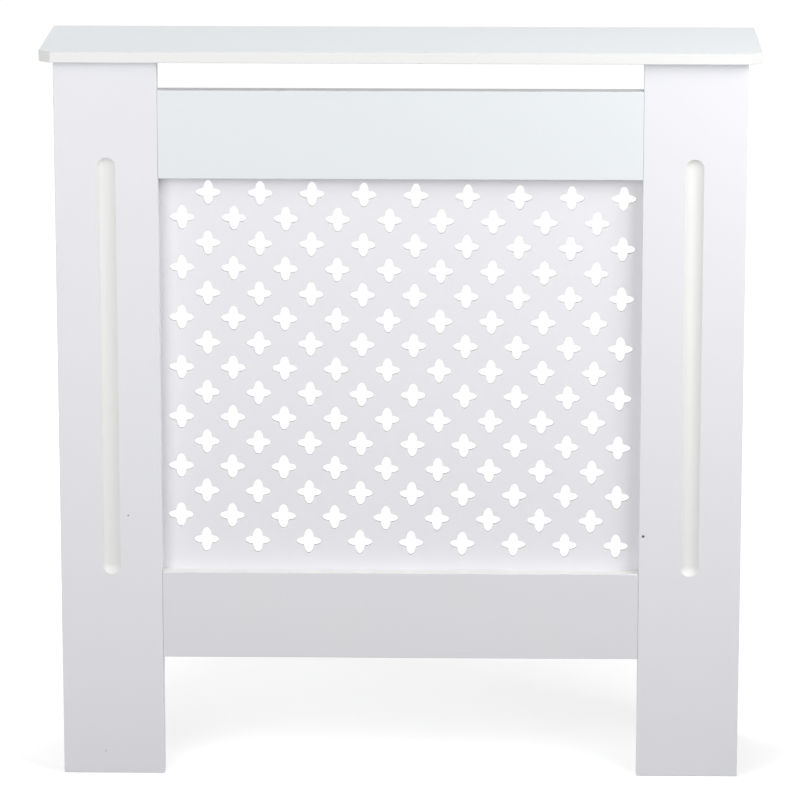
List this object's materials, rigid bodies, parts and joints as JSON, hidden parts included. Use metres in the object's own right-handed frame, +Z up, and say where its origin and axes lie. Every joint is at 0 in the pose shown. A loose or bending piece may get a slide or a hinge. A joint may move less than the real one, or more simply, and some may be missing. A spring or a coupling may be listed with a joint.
{
  "type": "radiator cover cabinet",
  "caption": "Open-backed white cabinet that stands over a radiator, with a flat shelf top, fluted front stiles, two rails and a panel pierced with staggered crosses.",
  "frame": {"origin": "on the floor, at the middle of the cabinet's outer box", "axes": "+Z up, +Y towards the wall behind the cabinet (the front faces -Y), +X to the right as seen from the front"},
  "size_m": [0.78, 0.19, 0.815],
  "materials": {
    "white_paint": "satin white paint on fibreboard",
    "zinc_steel": "bright zinc plating",
    "beech_dowel": "bare beech"
  },
  "bodies": {
    "root": {"top_panel": "white_paint", "left_stile": "white_paint", "right_stile": "white_paint", "left_side_panel": "white_paint", "right_side_panel": "white_paint", "top_rail": "white_paint", "bottom_rail": "white_paint", "lattice_panel": "white_paint", "top_rail_dowel_left_lower": "beech_dowel", "top_rail_dowel_left_upper": "beech_dowel", "top_rail_dowel_right_lower": "beech_dowel", "top_rail_dowel_right_upper": "beech_dowel", "bottom_rail_dowel_left_lower": "beech_dowel", "bottom_rail_dowel_left_upper": "beech_dowel", "bottom_rail_dowel_right_lower": "beech_dowel", "bottom_rail_dowel_right_upper": "beech_dowel", "left_top_dowel": "beech_dowel", "left_stile_dowel": "beech_dowel", "right_top_dowel": "beech_dowel", "right_stile_dowel": "beech_dowel", "left_stile_lower_bolt": "zinc_steel", "left_stile_lower_cam": "zinc_steel", "left_stile_upper_bolt": "zinc_steel", "left_stile_upper_cam": "zinc_steel", "left_top_front_bolt": "zinc_steel", "left_top_front_cam": "zinc_steel", "left_top_rear_bolt": "zinc_steel", "left_top_rear_cam": "zinc_steel", "right_stile_lower_bolt": "zinc_steel", "right_stile_lower_cam": "zinc_steel", "right_stile_upper_bolt": "zinc_steel", "right_stile_upper_cam": "zinc_steel", "right_top_front_bolt": "zinc_steel", "right_top_front_cam": "zinc_steel", "right_top_rear_bolt": "zinc_steel", "right_top_rear_cam": "zinc_steel", "lattice_screw_top_rail_left": "zinc_steel", "lattice_screw_top_rail_right": "zinc_steel", "lattice_screw_bottom_rail_left": "zinc_steel", "lattice_screw_bottom_rail_right": "zinc_steel", "lattice_screw_left_stile_upper": "zinc_steel", "lattice_screw_left_stile_lower": "zinc_steel", "lattice_screw_right_stile_upper": "zinc_steel", "lattice_screw_right_stile_lower": "zinc_steel", "left_wall_bracket": "zinc_steel", "right_wall_bracket": "zinc_steel", "left_wall_bracket_screw": "zinc_steel", "right_wall_bracket_screw": "zinc_steel"}
  },
  "joints": []
}
